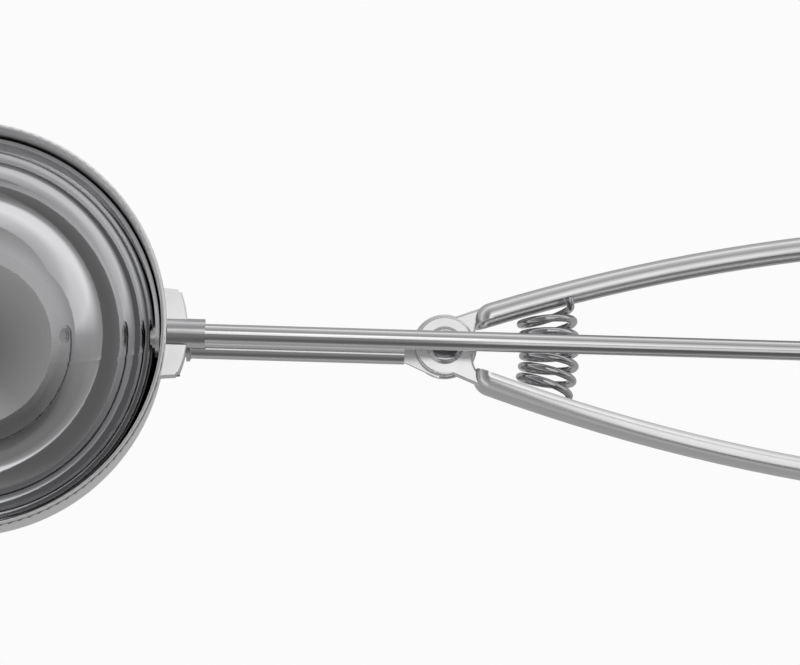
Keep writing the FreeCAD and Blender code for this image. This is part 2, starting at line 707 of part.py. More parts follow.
def coil_point(centre, radius, lean, turn):
    reach = radius + SPRING_RADIUS * math.cos(turn)
    return centre + V(
        reach * math.cos(lean),
        reach * math.sin(lean),
        SPRING_RADIUS * math.sin(turn),
    )


def coil_spring():
    centre, radius, slope = spring_frame()
    end_lean = slope - (SPRING_GAP + SPRING_WIRE) / radius
    steps = SPRING_TURNS * 4
    total = 2 * math.pi * SPRING_TURNS

    def at(share):
        lean = end_lean * (2 * share - 1)
        return coil_point(centre, radius, lean, total * share)

    def heading(share):
        small = 1e-4
        d = at(share + small) - at(share - small)
        d.normalize()
        return d

    def axis_at(share):
        lean = end_lean * (2 * share - 1)
        return V(-math.sin(lean), math.cos(lean), 0)

    web = HANDLE_DEPTH - HANDLE_WALL
    straight = SPRING_GAP + SPRING_WIRE + web - SPRING_BEND - SPRING_END_GAP
    arcs = []
    first, last = at(0), at(1)
    into = axis_at(0)
    bend_start = first - heading(0) * SPRING_BEND - into * SPRING_BEND
    arcs.append(Part.LineSegment(bend_start - into * straight, bend_start))
    arcs += biarc(bend_start, into, first, heading(0))
    for k in range(steps):
        a, b = k / steps, (k + 1) / steps
        arcs += biarc(at(a), heading(a), at(b), heading(b))
    out = axis_at(1)
    bend_end = last + heading(1) * SPRING_BEND + out * SPRING_BEND
    arcs += biarc(last, heading(1), bend_end, out)
    arcs.append(Part.LineSegment(bend_end, bend_end + out * straight))
    path = Part.Wire([a.toShape() for a in arcs])
    tightest = min(e.Curve.Radius for e in path.Edges if isinstance(e.Curve, Part.Circle))
    circle = Part.Wire(Part.makeCircle(SPRING_WIRE, bend_start - into * straight, into))
    wire = path.makePipeShell([circle], True, False)
    swept = math.pi * SPRING_WIRE ** 2 * path.Length
    print("spring wire length", round(path.Length, 1))
    print("spring volume", round(wire.Volume, 2), "section by length", round(swept, 2))
    print("spring tightest bend", round(tightest, 2), "least gap to itself", round(self_gap(arcs), 2))
    return wire


GAP_SAMPLES = 4


def self_gap(arcs):
    """The least gap between stretches of the wire that aren't neighbours along it."""
    points = []
    for arc in arcs:
        points += arc.discretize(Number=GAP_SAMPLES + 1)[:-1]
    skip = 3 * GAP_SAMPLES
    least = math.inf
    for i, p in enumerate(points):
        for q in points[i + skip:]:
            least = min(least, p.distanceToPoint(q))
    return least - 2 * SPRING_WIRE


def main():
    os.makedirs("parts", exist_ok=True)
    save(bowl(), "bowl")
    save(bush(1), "axle_bush")
    save(bush(-1), "far_bush")
    save(collar(), "rod_collar")
    save(gear_hood(), "gear_hood")
    low = lower_handle()
    save(low, "lower_handle")
    save(spine_rod(low), "spine_rod")
    save(sweeper_band(), "sweeper_band")
    save(hub_washer(1), "hub_washer")
    save(hub_washer(-1), "far_hub_washer")
    save(sweeper_axle(), "sweeper_axle")
    save(far_pin(), "far_pin")
    save(pinion(), "pinion")
    save(axle_ring(), "axle_ring")
    save(rack_sector(), "rack_sector")
    save(lever_arm(arm_tongue()), "lever_arm")
    save(upper_handle(), "upper_handle")
    save(pivot_rivet(), "pivot_rivet")
    save(pivot_washer(), "pivot_washer")
    save(coil_spring(), "coil_spring")
    print("lever angle", round(LEVER_ANGLE, 3), "ratio", round(RACK_CENTRE_RADIUS / PITCH_RADIUS, 4))
    print("axle height", round(AXLE_Z, 3), "handle centre height", round(HANDLE_Z, 3))


main()
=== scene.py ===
# %% [markdown]
# # A lever ice cream scoop
#
# The scoop is a polished steel bowl on a straight rod, with two sprung bow handles.
# Squeezing the handles turns a thin band inside the bowl, which frees the ball of ice cream.
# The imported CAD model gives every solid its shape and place, in metres.
# This lesson gives those solids their finishes, adds the weld seams that hold the frame together,
# and sets up the plain studio that shows polished steel at its best.

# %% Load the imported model
import bpy
import math
from mathutils import Euler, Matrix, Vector


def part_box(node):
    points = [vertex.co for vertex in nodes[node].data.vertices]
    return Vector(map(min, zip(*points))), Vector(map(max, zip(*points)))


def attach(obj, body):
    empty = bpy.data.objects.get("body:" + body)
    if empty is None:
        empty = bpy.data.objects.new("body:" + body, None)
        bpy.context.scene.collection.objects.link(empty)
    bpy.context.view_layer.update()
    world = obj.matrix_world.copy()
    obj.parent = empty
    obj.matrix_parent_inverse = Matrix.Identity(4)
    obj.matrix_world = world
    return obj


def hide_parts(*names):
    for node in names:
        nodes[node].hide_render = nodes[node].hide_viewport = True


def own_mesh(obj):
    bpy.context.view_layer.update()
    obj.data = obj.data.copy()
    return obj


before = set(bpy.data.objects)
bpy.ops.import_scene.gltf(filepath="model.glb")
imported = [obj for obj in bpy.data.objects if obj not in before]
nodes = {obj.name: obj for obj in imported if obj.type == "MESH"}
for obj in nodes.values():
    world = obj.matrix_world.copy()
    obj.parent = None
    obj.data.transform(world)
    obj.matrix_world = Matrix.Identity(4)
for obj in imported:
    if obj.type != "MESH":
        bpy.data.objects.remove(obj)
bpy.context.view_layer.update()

# %% [markdown]
# ## The camera
#
# The scoop is seen from nearly straight above, with the camera leaning a little towards the -Y side,
# so that the near walls of the handles show.
# An aim on the rim's plane, a distance and three small angles say this more plainly
# than a place in space would.
# A long lens from 0.8 m keeps the rod the same width along its whole length, as it is on the real picture.

# %% Camera
CAMERA_AIM = Vector((0.0895, 0.0009, 0.0))
CAMERA_DISTANCE = 0.8116
CAMERA_LEAN = 9.33
CAMERA_YAW = -2.04
CAMERA_ROLL = 1.34
CAMERA_LENS = 179.7
CAMERA_SENSOR = 36.0
NEAREST_SEEN = 0.01
FURTHEST_SEEN = 20.0


def make_camera():
    data = bpy.data.cameras.new("camera")
    data.lens = CAMERA_LENS
    data.sensor_width = CAMERA_SENSOR
    data.clip_start = NEAREST_SEEN
    data.clip_end = FURTHEST_SEEN
    camera = bpy.data.objects.new("camera", data)
    turn = Euler([math.radians(a) for a in (CAMERA_LEAN, CAMERA_YAW, CAMERA_ROLL)])
    camera.rotation_euler = turn
    camera.location = CAMERA_AIM + turn.to_matrix() @ Vector((0, 0, CAMERA_DISTANCE))
    bpy.context.scene.collection.objects.link(camera)
    bpy.context.scene.camera = camera
    return camera


camera = make_camera()
print("camera at", [round(v, 4) for v in camera.location])

# %% [markdown]
# ## Helpers for node trees
#
# Every finish below is a small node tree, so a few short helpers keep the trees readable.
# `wire` joins an output to an input, and `group` starts a node group with named sockets.
# `math_node` and `dot` calculate, `remap` stretches one range of numbers to another,
# and `fade` turns a number from 0 to 1 into a grey with a ramp.

# %% Node helpers
def wire(tree, source, target):
    tree.links.new(source, target)


def group(name, inputs, outputs):
    """A shader node group with named inputs (kind, default) and outputs (kind)."""
    tree = bpy.data.node_groups.new(name, "ShaderNodeTree")
    for label, (kind, default) in inputs.items():
        socket = tree.interface.new_socket(name=label, in_out="INPUT", socket_type="NodeSocket" + kind)
        socket.default_value = default
    for label, kind in outputs.items():
        tree.interface.new_socket(name=label, in_out="OUTPUT", socket_type="NodeSocket" + kind)
    return tree, tree.nodes.new("NodeGroupInput"), tree.nodes.new("NodeGroupOutput")


def math_node(tree, operation, a, b=None):
    node = tree.nodes.new("ShaderNodeMath")
    node.operation = operation
    for socket, value in zip(node.inputs, (a, b)):
        if isinstance(value, bpy.types.NodeSocket):
            wire(tree, value, socket)
        elif value is not None:
            socket.default_value = value
    return node.outputs[0]


def dot(tree, a, b):
    """How far direction a points along b, where b is a fixed direction or another socket."""
    node = tree.nodes.new("ShaderNodeVectorMath")
    node.operation = "DOT_PRODUCT"
    wire(tree, a, node.inputs[0])
    if isinstance(b, bpy.types.NodeSocket):
        wire(tree, b, node.inputs[1])
    else:
        node.inputs[1].default_value = b
    return node.outputs["Value"]


def remap(tree, source, ends, onto=(0.0, 1.0), smooth=False):
    """Stretch the numbers between ends, values or sockets, onto another range."""
    node = tree.nodes.new("ShaderNodeMapRange")
    if smooth:
        node.interpolation_type = "SMOOTHSTEP"
    wire(tree, source, node.inputs["Value"])
    for label, value in zip(("From Min", "From Max", "To Min", "To Max"), (*ends, *onto)):
        if isinstance(value, bpy.types.NodeSocket):
            wire(tree, value, node.inputs[label])
        else:
            node.inputs[label].default_value = value
    return node.outputs["Result"]


def fade(tree, source, greys):
    """A grey ramp over a source that runs from 0 to 1. greys is a list of (position, grey)."""
    ramp = tree.nodes.new("ShaderNodeValToRGB")
    stops = ramp.color_ramp.elements
    while len(stops) > 1:
        stops.remove(stops[-1])
    for k, (position, grey) in enumerate(greys):
        stop = stops[0] if k == 0 else stops.new(position)
        stop.position = position
        stop.color = (grey, grey, grey, 1.0)
    wire(tree, source, ramp.inputs["Fac"])
    return ramp.outputs["Color"]


# %% [markdown]
# ## Drawn and brushed grain
#
# Rods, wire and pressed strip carry fine lines along the way they were drawn or brushed.
# A noise texture stretched along that way makes such lines at any scale, and it needs no unwrapping.
# The group gives out two masks: the fine lines themselves, and broad soft patches where the metal is
# a little more or less worn.

# %% Grain group
def make_grain():
    tree, given, out = group(
        "grain",
        {
            "Lines": ("Vector", (1.0, 1.0, 1.0)),
            "Patch Scale": ("Float", 60.0),
            "Contrast": ("Float", 1.0),
        },
        {"Lines": "Float", "Patches": "Float"},
    )
    place = tree.nodes.new("ShaderNodeTexCoord")
    stretch = tree.nodes.new("ShaderNodeVectorMath")
    stretch.operation = "MULTIPLY"
    wire(tree, place.outputs["Object"], stretch.inputs[0])
    wire(tree, given.outputs["Lines"], stretch.inputs[1])
    lines = tree.nodes.new("ShaderNodeTexNoise")
    lines.inputs["Scale"].default_value = 1.0
    lines.inputs["Detail"].default_value = 4.0
    lines.inputs["Roughness"].default_value = 0.65
    wire(tree, stretch.outputs[0], lines.inputs["Vector"])
    centred = math_node(tree, "SUBTRACT", lines.outputs["Fac"], 0.5)
    strong = math_node(tree, "MULTIPLY", centred, given.outputs["Contrast"])
    wire(tree, math_node(tree, "ADD", strong, 0.5), out.inputs["Lines"])
    patches = tree.nodes.new("ShaderNodeTexNoise")
    patches.inputs["Detail"].default_value = 3.0
    wire(tree, place.outputs["Object"], patches.inputs["Vector"])
    wire(tree, given.outputs["Patch Scale"], patches.inputs["Scale"])
    wire(tree, patches.outputs["Fac"], out.inputs["Patches"])
    return tree


grain = make_grain()
print("group", grain.name, "gives", [s.name for s in grain.interface.items_tree if s.in_out == "OUTPUT"])

# %% [markdown]
# ## Spun polish
#
# The bowl is spun and buffed on a lathe, so its finest lines run round its own axis.
# Noise read from the distance to that axis and the height gives rings that close on themselves,
# which a plain stretched noise can't do.

# %% Spun polish group
def make_spun():
    tree, given, out = group(
        "spun_polish",
        {"Ring Scale": ("Float", 2500.0), "Smear Scale": ("Float", 45.0)},
        {"Rings": "Float", "Smears": "Float"},
    )
    place = tree.nodes.new("ShaderNodeTexCoord")
    parts = tree.nodes.new("ShaderNodeSeparateXYZ")
    wire(tree, place.outputs["Object"], parts.inputs[0])
    across = math_node(tree, "POWER", parts.outputs["X"], 2.0)
    along = math_node(tree, "POWER", parts.outputs["Y"], 2.0)
    radius = math_node(tree, "SQRT", math_node(tree, "ADD", across, along))
    turned = tree.nodes.new("ShaderNodeCombineXYZ")
    wire(tree, radius, turned.inputs["X"])
    wire(tree, parts.outputs["Z"], turned.inputs["Y"])
    rings = tree.nodes.new("ShaderNodeTexNoise")
    rings.inputs["Detail"].default_value = 2.0
    wire(tree, turned.outputs[0], rings.inputs["Vector"])
    wire(tree, given.outputs["Ring Scale"], rings.inputs["Scale"])
    wire(tree, rings.outputs["Fac"], out.inputs["Rings"])
    smears = tree.nodes.new("ShaderNodeTexNoise")
    smears.inputs["Detail"].default_value = 4.0
    wire(tree, place.outputs["Object"], smears.inputs["Vector"])
    wire(tree, given.outputs["Smear Scale"], smears.inputs["Scale"])
    wire(tree, smears.outputs["Fac"], out.inputs["Smears"])
    return tree


spun = make_spun()
print("group", spun.name, "ready")

# %% [markdown]
# ## A steel finish from masks
#
# All finishes share one plan: a metallic shader whose colour and roughness move a little
# with the broad mask, and whose surface is bumped by the fine mask.
# Only the numbers differ between mirror polish, satin and drawn wire, so one function builds them all.

# %% Steel finish
BROAD_ENDS = (0.3, 0.7)


def steel(name, colour, tint, rough, rough_range, masks, settings, bump, bump_size):
    """A metal finish. masks is the group, settings its inputs, and tint the worn colour."""
    material = bpy.data.materials.new(name)
    material.use_nodes = True
    tree = material.node_tree
    shader = tree.nodes["Principled BSDF"]
    shader.inputs["Metallic"].default_value = 1.0
    source = tree.nodes.new("ShaderNodeGroup")
    source.node_tree = masks
    for label, value in settings.items():
        source.inputs[label].default_value = value
    fine, broad = source.outputs[0], source.outputs[1]
    mix = tree.nodes.new("ShaderNodeMix")
    mix.data_type = "RGBA"
    mix.inputs["A"].default_value = (*colour, 1.0)
    mix.inputs["B"].default_value = (*tint, 1.0)
    wire(tree, broad, mix.inputs["Factor"])
    wire(tree, mix.outputs["Result"], shader.inputs["Base Color"])
    wire(tree, remap(tree, broad, BROAD_ENDS, (rough, rough + rough_range)), shader.inputs["Roughness"])
    relief = tree.nodes.new("ShaderNodeBump")
    relief.inputs["Strength"].default_value = bump
    relief.inputs["Distance"].default_value = bump_size
    wire(tree, fine, relief.inputs["Height"])
    wire(tree, relief.outputs["Normal"], shader.inputs["Normal"])
    return material


# %% [markdown]
# ## Painted wall shade
#
# The walls of the handles, the hood and the rods are painted darker than their tops: this is painted shade,
# which stands in for the duller light that upright walls catch.
# The surface's own normal tells top from wall: its height is near one on top and near zero on a wall.
# The group turns that height into a mask, and each finish sets the painted shade colour of its walls.

# %% Painted wall shade group
def make_painted_shade_mask():
    tree, given, out = group(
        "painted_wall_shade",
        {"Wall End": ("Float", 0.25), "Crown Start": ("Float", 0.7)},
        {"Crown": "Float"},
    )
    surface = tree.nodes.new("ShaderNodeNewGeometry")
    parts = tree.nodes.new("ShaderNodeSeparateXYZ")
    wire(tree, surface.outputs["Normal"], parts.inputs[0])
    steepness = math_node(tree, "ABSOLUTE", parts.outputs["Z"])
    ends = (given.outputs["Wall End"], given.outputs["Crown Start"])
    wire(tree, remap(tree, steepness, ends, smooth=True), out.inputs["Crown"])
    return tree


def paint_wall_shade(material, shaded_wall_colour):
    """Paint shade on a finish's walls, as a darker colour where its surface stands upright."""
    tree = material.node_tree
    base = tree.nodes["Principled BSDF"].inputs["Base Color"]
    crown = tree.nodes.new("ShaderNodeGroup")
    crown.node_tree = painted_shade_mask
    mix = tree.nodes.new("ShaderNodeMix")
    mix.data_type = "RGBA"
    mix.inputs["A"].default_value = (*shaded_wall_colour, 1.0)
    finish_socket = base.links[0].from_socket
    wire(tree, finish_socket, mix.inputs["B"])
    wire(tree, crown.outputs["Crown"], mix.inputs["Factor"])
    wire(tree, mix.outputs["Result"], base)


painted_shade_mask = make_painted_shade_mask()
print("group", painted_shade_mask.name, "ready")

# %% [markdown]
# ## The satin wall under the rim
#
# The bowl's rim is trimmed after spinning, and the upright wall just inside it keeps a satin finish.
# The height gives the place, and the surface's normal tells the inner side from the outer one:
# on the inner side it points back towards the bowl's axis.

# %% Trimmed wall
TRIM_ENDS = (-0.0112, -0.0090)


def trim(material, rough):
    """Make the upright inner wall under the rim satin, and leave the rest of the bowl as it is."""
    tree = material.node_tree
    socket = tree.nodes["Principled BSDF"].inputs["Roughness"]
    finish_socket = socket.links[0].from_socket
    place = tree.nodes.new("ShaderNodeTexCoord")
    parts = tree.nodes.new("ShaderNodeSeparateXYZ")
    wire(tree, place.outputs["Object"], parts.inputs[0])
    near_rim = remap(tree, parts.outputs["Z"], TRIM_ENDS)
    outward = dot(tree, place.outputs["Object"], place.outputs["Normal"])
    inside = math_node(tree, "LESS_THAN", outward, 0.0)
    mask = math_node(tree, "MULTIPLY", near_rim, inside)
    satin_part = math_node(tree, "MULTIPLY", mask, rough)
    wire(tree, math_node(tree, "MAXIMUM", finish_socket, satin_part), socket)


print("the satin wall starts", round(-TRIM_ENDS[0] * 1000, 1), "mm under the rim")

# %% [markdown]
# ## The finishes
#
# The bowl is the brightest piece: a mirror with the faintest rings.
# The handles and the hood are pressed and tumbled, almost as bright.
# Rods are drawn, so their lines run along X, and the collar and small turned pieces are satin.
# The sweeper band is brushed along its length, which is level round the bowl when it is parked.
# Gear pieces are a touch darker, as blanked and unpolished steel is.
# The rivet is headed from wire, so it has the spring's darker gloss.

# %% Finishes
FINE = 6000.0
SLOW = 25.0
# Painted shade: the darker colour given to the upright walls of the handles, the hood and the rods.
PAINTED_WALL_SHADE = (0.58, 0.58, 0.59)
TRIM_ROUGHNESS = 0.34


def even(lines):
    """The same scale of grain along all three axes."""
    return (lines, lines, lines)


mirror = steel(
    "mirror_steel", colour=(0.78, 0.78, 0.785), tint=(0.72, 0.72, 0.73), rough=0.02, rough_range=0.02,
    masks=spun, settings={"Ring Scale": 2600.0, "Smear Scale": 40.0}, bump=0.05, bump_size=0.00002)
bright = steel(
    "bright_pressed_steel", colour=(0.84, 0.84, 0.845), tint=(0.79, 0.79, 0.80), rough=0.20, rough_range=0.06,
    masks=grain, settings={"Lines": even(260.0), "Patch Scale": 70.0, "Contrast": 1.0},
    bump=0.15, bump_size=0.00003)
drawn = steel(
    "drawn_rod_steel", colour=(0.74, 0.74, 0.745), tint=(0.68, 0.68, 0.69), rough=0.10, rough_range=0.05,
    masks=grain, settings={"Lines": (SLOW, FINE, FINE), "Patch Scale": 90.0, "Contrast": 1.3},
    bump=0.20, bump_size=0.00002)
satin = steel(
    "satin_turned_steel", colour=(0.64, 0.64, 0.65), tint=(0.56, 0.56, 0.57), rough=0.20, rough_range=0.08,
    masks=grain, settings={"Lines": (SLOW * 6, FINE / 2, FINE / 2), "Patch Scale": 160.0, "Contrast": 1.2},
    bump=0.25, bump_size=0.00002)
brushed = steel(
    "brushed_band_steel", colour=(0.80, 0.80, 0.81), tint=(0.70, 0.70, 0.71), rough=0.30, rough_range=0.10,
    masks=grain, settings={"Lines": (SLOW * 4, SLOW * 4, FINE), "Patch Scale": 120.0, "Contrast": 1.6},
    bump=0.35, bump_size=0.00003)
blanked = steel(
    "blanked_gear_steel", colour=(0.48, 0.48, 0.49), tint=(0.40, 0.40, 0.41), rough=0.28, rough_range=0.12,
    masks=grain, settings={"Lines": even(900.0), "Patch Scale": 200.0, "Contrast": 1.0},
    bump=0.30, bump_size=0.00003)
wire_steel = steel(
    "spring_wire_steel", colour=(0.62, 0.62, 0.63), tint=(0.50, 0.50, 0.51), rough=0.07, rough_range=0.05,
    masks=grain, settings={"Lines": even(1400.0), "Patch Scale": 220.0, "Contrast": 1.2},
    bump=0.25, bump_size=0.00002)

# Painted shade on the walls of the pressed parts and the rods: darker where the surface stands upright.
paint_wall_shade(bright, PAINTED_WALL_SHADE)
paint_wall_shade(drawn, PAINTED_WALL_SHADE)
trim(mirror, TRIM_ROUGHNESS)

FINISH_OF = {
    mirror: ["bowl"],
    bright: ["lower_handle", "upper_handle", "gear_hood"],
    drawn: ["spine_rod", "lever_arm"],
    satin: ["rod_collar", "axle_bush", "far_bush", "hub_washer", "far_hub_washer",
            "sweeper_axle", "far_pin", "axle_ring", "pivot_washer"],
    brushed: ["sweeper_band"],
    blanked: ["pinion", "rack_sector"],
    wire_steel: ["coil_spring", "pivot_rivet"],
}


def dress(node, material):
    mesh = nodes[node].data
    mesh.materials.clear()
    mesh.materials.append(material)


for material, names in FINISH_OF.items():
    for name in names:
        dress(name, material)
    print(material.name, "on", len(names), "pieces")

# %% [markdown]
# ## Weld seams
#
# The bearing bushes and the lever arm are held by small welds, which the solids leave out.
# A weld is a row of overlapping puddles along the joint, so it repeats along a path.
# Geometry Nodes can walk a path and set one puddle on each step,
# and the same tree serves every seam with other sizes.

# %% Weld tree
PUDDLE_SMOOTHNESS = 2


def make_weld_tree():
    tree = bpy.data.node_groups.new("weld_seam", "GeometryNodeTree")
    face = tree.interface
    face.new_socket(name="Path", in_out="INPUT", socket_type="NodeSocketGeometry")
    for label, kind, default in (
        ("Step", "NodeSocketFloat", 0.0004),
        ("Puddle Radius", "NodeSocketFloat", 0.0004),
        ("Unevenness", "NodeSocketFloat", 0.12),
        ("Seed", "NodeSocketInt", 7),
        ("Finish", "NodeSocketMaterial", None),
    ):
        socket = face.new_socket(name=label, in_out="INPUT", socket_type=kind)
        if default is not None:
            socket.default_value = default
    face.new_socket(name="Seam", in_out="OUTPUT", socket_type="NodeSocketGeometry")
    add = tree.nodes.new
    given, out = add("NodeGroupInput"), add("NodeGroupOutput")
    curve = add("GeometryNodeMeshToCurve")
    wire(tree, given.outputs["Path"], curve.inputs["Mesh"])
    steps = add("GeometryNodeCurveToPoints")
    steps.mode = "LENGTH"
    wire(tree, curve.outputs["Curve"], steps.inputs["Curve"])
    wire(tree, given.outputs["Step"], steps.inputs["Length"])
    puddle = add("GeometryNodeMeshIcoSphere")
    puddle.inputs["Subdivisions"].default_value = PUDDLE_SMOOTHNESS
    wire(tree, given.outputs["Puddle Radius"], puddle.inputs["Radius"])
    size = add("FunctionNodeRandomValue")
    size.data_type = "FLOAT"
    smallest, largest = size.inputs[2], size.inputs[3]
    wire(tree, math_node(tree, "SUBTRACT", 1.0, given.outputs["Unevenness"]), smallest)
    largest.default_value = 1.0
    wire(tree, given.outputs["Seed"], size.inputs["Seed"])
    row = add("GeometryNodeInstanceOnPoints")
    wire(tree, steps.outputs["Points"], row.inputs["Points"])
    wire(tree, puddle.outputs["Mesh"], row.inputs["Instance"])
    wire(tree, steps.outputs["Rotation"], row.inputs["Rotation"])
    wire(tree, size.outputs[1], row.inputs["Scale"])
    real = add("GeometryNodeRealizeInstances")
    wire(tree, row.outputs["Instances"], real.inputs["Geometry"])
    smooth = add("GeometryNodeSetShadeSmooth")
    wire(tree, real.outputs["Geometry"], smooth.inputs["Geometry"])
    finish = add("GeometryNodeSetMaterial")
    wire(tree, smooth.outputs["Geometry"], finish.inputs["Geometry"])
    wire(tree, given.outputs["Finish"], finish.inputs["Material"])
    wire(tree, finish.outputs["Geometry"], out.inputs["Seam"])
    return tree


weld_tree = make_weld_tree()
weld_inputs = [s for s in weld_tree.interface.items_tree if s.in_out == "INPUT"]
print("tree", weld_tree.name, "inputs", [s.name for s in weld_inputs])

# %% [markdown]
# A seam starts as a bare path of edges, gets the tree as a modifier, and ends as a plain mesh.
# The inputs are set by the sockets' identifiers before the object is first evaluated.

# %% Lay a seam
def lay_seam(name, body, paths, radius, step, seed):
    """Welds along closed or open paths of points, turned into one plain mesh on a body."""
    mesh = bpy.data.meshes.new(name + "_path")
    points, edges = [], []
    for path, closed in paths:
        first = len(points)
        points += path
        count = len(path)
        edges += [(first + k, first + k + 1) for k in range(count - 1)]
        if closed:
            edges.append((first + count - 1, first))
    mesh.from_pydata(points, edges, [])
    seam = bpy.data.objects.new(name, mesh)
    bpy.context.scene.collection.objects.link(seam)
    modifier = seam.modifiers.new("seam", "NODES")
    modifier.node_group = weld_tree
    values = {"Step": step, "Puddle Radius": radius, "Seed": seed, "Finish": satin}
    for socket in weld_inputs:
        if socket.name in values:
            modifier[socket.identifier] = values[socket.name]
    evaluated = seam.evaluated_get(bpy.context.evaluated_depsgraph_get())
    plain = bpy.data.meshes.new_from_object(evaluated)
    seam.modifiers.clear()
    seam.data = plain
    bpy.data.meshes.remove(mesh)
    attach(seam, body)
    print(name, "has", len(plain.polygons), "faces")


# %% [markdown]
# The bushes sit on the curved wall of the bowl, so their seams dip with it:
# each point lies on a circle round the axle and on the sphere of the bowl's outside.

# %% Seams of the bushes
def box_size(node):
    low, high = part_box(node)
    return low, high, high - low


bowl_low = box_size("bowl")[0]
bush_low, bush_high, bush_size = box_size("axle_bush")
bush_radius = bush_size.z / 2
axle_z = (bush_low.z + bush_high.z) / 2
outside = axle_z - bowl_low.z
SEAM_RADIUS = 0.00028
SEAM_STEP = 0.00034
STEPS_ROUND = 48
BUSH_SEED = 3
ARM_SEED = 11


def bush_path(side):
    path = []
    for k in range(STEPS_ROUND):
        a = 2 * math.pi * k / STEPS_ROUND
        y = bush_radius * math.cos(a)
        z = bush_radius * math.sin(a)
        below = min(z, 0.0)
        x = math.sqrt(outside ** 2 - y ** 2 - below ** 2)
        path.append((side * x, y, axle_z + z))
    return path


lay_seam(
    "bush_seams", "frame", [(bush_path(1), True), (bush_path(-1), True)], SEAM_RADIUS, SEAM_STEP, BUSH_SEED)

# %% [markdown]
# The lever arm butts against the upright flange of the rack, and its seam is a plain circle there.

# %% Seam of the lever arm
arm_low, arm_high, arm_size = box_size("lever_arm")
arm_centre = (arm_low + arm_high) / 2
arm_radius = arm_size.z / 2


def arm_path():
    path = []
    for k in range(STEPS_ROUND):
        a = 2 * math.pi * k / STEPS_ROUND
        path.append((
            arm_low.x + SEAM_RADIUS / 2,
            arm_centre.y + arm_radius * math.cos(a),
            arm_centre.z + arm_radius * math.sin(a),
        ))
    return path


lay_seam("arm_seam", "lever", [(arm_path(), True)], SEAM_RADIUS, SEAM_STEP, ARM_SEED)

# %% [markdown]
# ## A copy of the spring
#
# The coil spring is held between the handles and gets shorter as they close.
# A rigid spring would stick through the upper handle; a copy of its mesh, with a mesh of its own, stands for
# it here and rides on the frame with the lower handle.

coils = bpy.data.objects.new("spring_coils", nodes["coil_spring"].data.copy())
bpy.context.scene.collection.objects.link(coils)
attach(coils, "frame")
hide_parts("coil_spring")
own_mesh(coils)

# %% [markdown]
# ## The studio
#
# Polished steel has hardly any colour of its own: it looks like what stands around it.
# So the studio matters more than the finish here.
# A sweep of white paper runs under the scoop.
# It looks white to the camera, but the metal mirrors only a small share of its glow,
# as if the paper were lit from behind for the background alone.

# %% Floor
FLOOR_SIZE = 3.0
FLOOR_GAP = 0.0002
PAPER = 0.80
PAPER_GLOW = 0.95
MIRRORED_GLOW = 0.20
PAPER_ROUGHNESS = 0.9
PAPER_GLOSS = 0.1


def make_floor():
    z = bowl_low.z - FLOOR_GAP
    half = FLOOR_SIZE / 2
    mesh = bpy.data.meshes.new("floor")
    corners = [(-half, -half, z), (half, -half, z), (half, half, z), (-half, half, z)]
    mesh.from_pydata(corners, [], [(0, 1, 2, 3)])
    floor = bpy.data.objects.new("floor", mesh)
    bpy.context.scene.collection.objects.link(floor)
    material = bpy.data.materials.new("white_paper")
    material.use_nodes = True
    tree = material.node_tree
    shader = tree.nodes["Principled BSDF"]
    shader.inputs["Base Color"].default_value = (PAPER, PAPER, PAPER, 1.0)
    shader.inputs["Roughness"].default_value = PAPER_ROUGHNESS
    shader.inputs["Specular IOR Level"].default_value = PAPER_GLOSS
    glow = tree.nodes.new("ShaderNodeEmission")
    glow.inputs["Strength"].default_value = 1.0
    path = tree.nodes.new("ShaderNodeLightPath")
    looked_at = math_node(tree, "MULTIPLY", path.outputs["Is Camera Ray"], PAPER_GLOW)
    mirrored = math_node(tree, "MAXIMUM", path.outputs["Is Glossy Ray"], path.outputs["Is Transmission Ray"])
    share = math_node(tree, "MAXIMUM", looked_at, math_node(tree, "MULTIPLY", mirrored, MIRRORED_GLOW))
    blend = tree.nodes.new("ShaderNodeMixShader")
    wire(tree, share, blend.inputs["Fac"])
    wire(tree, shader.outputs[0], blend.inputs[1])
    wire(tree, glow.outputs[0], blend.inputs[2])
    wire(tree, blend.outputs[0], tree.nodes["Material Output"].inputs["Surface"])
    mesh.materials.append(material)
    return floor


floor = make_floor()
print("floor at", round(bowl_low.z - FLOOR_GAP, 4))

# %% [markdown]
# Round the scoop the studio itself is dark overhead, where the camera stands,
# and it gets lighter towards the table, which draws the rings in the bowl.
# A sky made of nodes can say this with an angle: the arccosine of the direction's height gives
# the angle from straight up, and a colour ramp turns it into brightness.
# A little more light comes from the far right, through the dot product with one direction,
# and a dark card stands on the near side: it draws the dark lower line on the round rods.

# %% Sky
HALF_TURN = 180
SKY = [(0, 0.16), (15, 0.17), (30, 0.23), (50, 0.30), (65, 0.42), (78, 0.75), (92, 0.85), (HALF_TURN, 0.85)]
FILL_FROM = Vector((0.707, 0.707, 0.0))
FILL = 0.30
CARD_FROM = Vector((0.5, -0.866, 0.0))
CARD_ENDS = (0.42, 0.85)
CARD_SHADE = 0.75


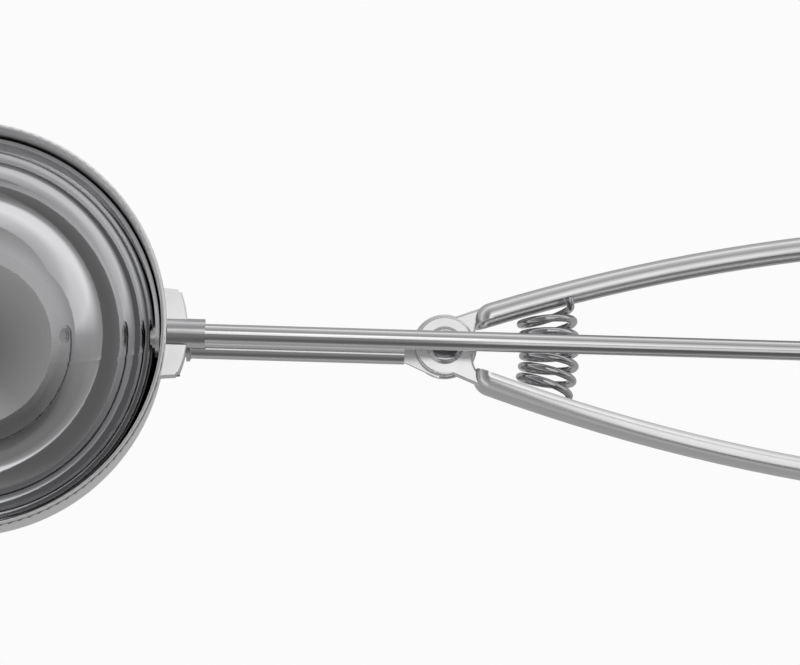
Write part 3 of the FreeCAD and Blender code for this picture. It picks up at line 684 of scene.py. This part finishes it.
def make_sky():
    world = bpy.data.worlds.new("studio")
    world.use_nodes = True
    bpy.context.scene.world = world
    tree = world.node_tree
    place = tree.nodes.new("ShaderNodeTexCoord")
    parts = tree.nodes.new("ShaderNodeSeparateXYZ")
    wire(tree, place.outputs["Generated"], parts.inputs[0])
    angle = math_node(tree, "ARCCOSINE", parts.outputs["Z"])
    share = math_node(tree, "DIVIDE", angle, math.pi)
    by_height = fade(tree, share, [(degrees / HALF_TURN, value) for degrees, value in SKY])
    lit = math_node(tree, "MAXIMUM", dot(tree, place.outputs["Generated"], FILL_FROM), 0.0)
    bright_sky = math_node(tree, "ADD", by_height, math_node(tree, "MULTIPLY", lit, FILL))
    towards_card = dot(tree, place.outputs["Generated"], CARD_FROM)
    card = remap(tree, towards_card, CARD_ENDS, (1.0, 1.0 - CARD_SHADE), smooth=True)
    back = tree.nodes["Background"]
    wire(tree, math_node(tree, "MULTIPLY", bright_sky, card), back.inputs["Color"])
    back.inputs["Strength"].default_value = 1.0


make_sky()
print("sky with", len(SKY), "bands")

# %% [markdown]
# The main light is one wide soft panel over the handles, about as bright as white paper.
# It hangs close, so each part of the scoop mirrors it from another side:
# the rod and the plates see it overhead, and the bowl sees it as a bright patch on the right,
# with the dark of the studio where the camera stands.
# The panel fades along both its sides, because a real one is never lit evenly.
# It is hidden from the camera, which looks past it in some of the other views.

# %% Soft panel
PANEL_LOW = Vector((0.018, -0.35, 0.6))
PANEL_HIGH = Vector((0.60, 0.35, 0.6))
FADE_ALONG = [(0.0, 1.0), (0.24, 0.98), (0.42, 0.72), (0.75, 0.48), (1.0, 0.36)]
FADE_ACROSS = [
    (0.0, 0.05), (0.25, 0.08), (0.36, 0.25), (0.425, 1.0), (0.60, 1.0), (0.75, 0.60), (1.0, 0.30),
]
PANEL_GLOW = 1.05


def make_panel(name, low, high, glow, fade_along, fade_across):
    """A level soft light between two corners that fades along both its sides."""
    size = high - low
    data = bpy.data.lights.new(name, "AREA")
    data.shape = "RECTANGLE"
    data.size = size.x
    data.size_y = size.y
    data.energy = math.pi * size.x * size.y * glow
    data.use_nodes = True
    tree = data.node_tree
    place = tree.nodes.new("ShaderNodeNewGeometry")
    parts = tree.nodes.new("ShaderNodeSeparateXYZ")
    wire(tree, place.outputs["Parametric"], parts.inputs[0])
    along = fade(tree, parts.outputs["X"], fade_along)
    across = fade(tree, parts.outputs["Y"], fade_across)
    wire(tree, math_node(tree, "MULTIPLY", along, across), tree.nodes["Emission"].inputs["Strength"])
    panel = bpy.data.objects.new(name, data)
    panel.location = (low + high) / 2
    panel.visible_camera = False
    bpy.context.scene.collection.objects.link(panel)
    return panel


panel = make_panel("soft_panel", PANEL_LOW, PANEL_HIGH, PANEL_GLOW, FADE_ALONG, FADE_ACROSS)
print("panel of", round(panel.data.energy, 3), "W")

# %% [markdown]
# Small strips hang lower, and each one lights only the pieces that it is named for.
# A photographer does the same with flags and by masking several exposures together:
# the handle gets a broad bright crown, the rod a thin bright line, and the bowl stays dark beside them.
# Light linking does this here with a collection of the pieces that a lamp reaches.

# %% Strips
STRIPS = [
    ("near_strip", (0.12, -0.19, 0.25), (0.27, -0.06, 0.25), 0.55, ("spine_rod", "spring_coils")),
    ("crown_strip", (0.09, -0.34, 0.12), (0.24, -0.045, 0.12), 0.72, ("lower_handle",)),
    ("far_strip", (0.0, 0.05, 0.25), (0.13, 0.10, 0.25), 0.70, ("spine_rod", "rod_collar")),
    ("hood_strip", (-0.03, -0.01, 0.25), (0.09, 0.10, 0.25), 0.24, ("gear_hood",)),
]
EVEN = [(0.0, 1.0), (1.0, 1.0)]


def light_only(lamp, names):
    """Let a lamp reach only the named pieces."""
    reached = bpy.data.collections.new(lamp.name + "_reaches")
    for name in names:
        reached.objects.link(bpy.data.objects[name])
    lamp.light_linking.receiver_collection = reached


for name, low, high, glow, reached in STRIPS:
    strip = make_panel(name, Vector(low), Vector(high), glow, EVEN, EVEN)
    light_only(strip, reached)
    print(name, "lights", ", ".join(reached))

# %% [markdown]
# The standard view shows colours as they are, without a film look.

# %% Colour handling
bpy.context.scene.view_settings.view_transform = "Standard"
